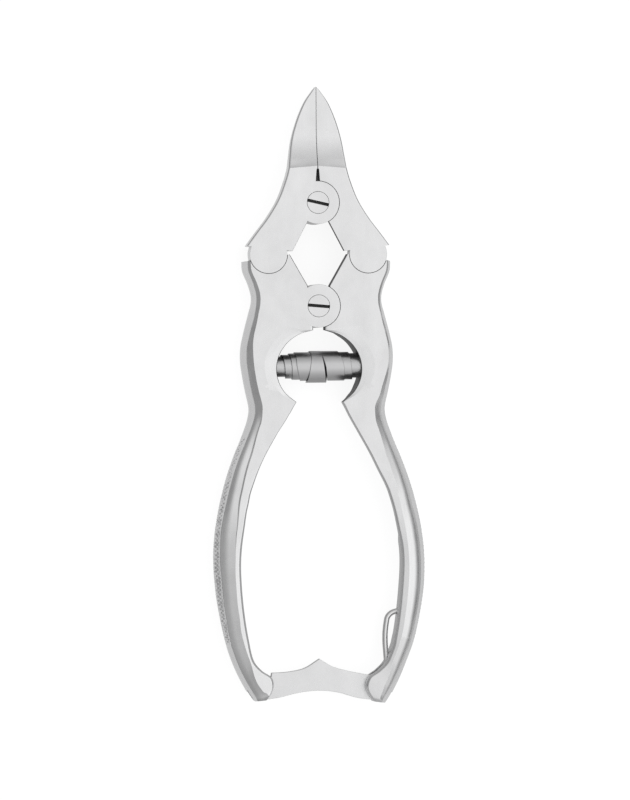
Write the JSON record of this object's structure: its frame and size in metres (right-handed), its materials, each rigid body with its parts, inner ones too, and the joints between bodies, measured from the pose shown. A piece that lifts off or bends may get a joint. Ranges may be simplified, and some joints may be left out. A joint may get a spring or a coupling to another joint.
{
  "type": "nail nipper",
  "caption": "Double-action nail nipper: two lapped jaws with concave blades, two linked grips, a barrel return spring and a swinging lock bar.",
  "frame": {"origin": "middle of the outline, on the back face that the tool lies on", "axes": "+Y from the grips to the cutting tips, +X to the right seen from the front, +Z out of the front face"},
  "size_m": [0.048, 0.14, 0.008],
  "materials": {
    "handle_steel": "satin",
    "jaw_steel": "satin",
    "screw_steel": "polished",
    "pin_steel": "satin",
    "spring_steel": "polished",
    "lock_steel": "satin"
  },
  "bodies": {
    "left_handle": {"left_handle": "handle_steel", "left_link_pin": "pin_steel", "lock_catch_pin": "pin_steel", "barrel_spring": "spring_steel"},
    "right_handle": {"right_handle": "handle_steel", "handle_screw": "screw_steel", "right_link_pin": "pin_steel", "lock_hinge_pin": "pin_steel", "lock_spring_wire": "spring_steel"},
    "left_jaw": {"left_jaw": "jaw_steel"},
    "right_jaw": {"right_jaw": "jaw_steel", "jaw_screw": "screw_steel"},
    "lock_bar": {"lock_bar": "lock_steel"}
  },
  "joints": [
    {"name": "handle_pivot", "type": "hinge", "parent": "left_handle", "child": "right_handle", "pos_m": [0, 0.0203, 0.004], "axis": [0, 0, 1], "range_deg": [0, 26], "stiffness_Nm_per_rad": 0.5, "springref_deg": 26.01, "deforming": ["barrel_spring"]},
    {"name": "left_jaw_link", "type": "hinge", "parent": "left_handle", "child": "left_jaw", "pos_m": [-0.0114, 0.032, 0.004], "axis": [0, 0, 1], "range_deg": [0, 26]},
    {"name": "right_jaw_link", "type": "hinge", "parent": "right_handle", "child": "right_jaw", "pos_m": [0.0114, 0.032, 0.004], "axis": [0, 0, 1], "range_deg": [-26, 0]},
    {"name": "lock_bar_hinge", "type": "hinge", "parent": "right_handle", "child": "lock_bar", "pos_m": [0.0138, -0.0664, 0.004], "axis": [0, 0, 1], "range_deg": [-3, 80]}
  ],
  "couplings": [
    {"joint": "left_jaw_link", "follows": "handle_pivot", "ratio": 1},
    {"joint": "right_jaw_link", "follows": "handle_pivot", "ratio": -1}
  ]
}
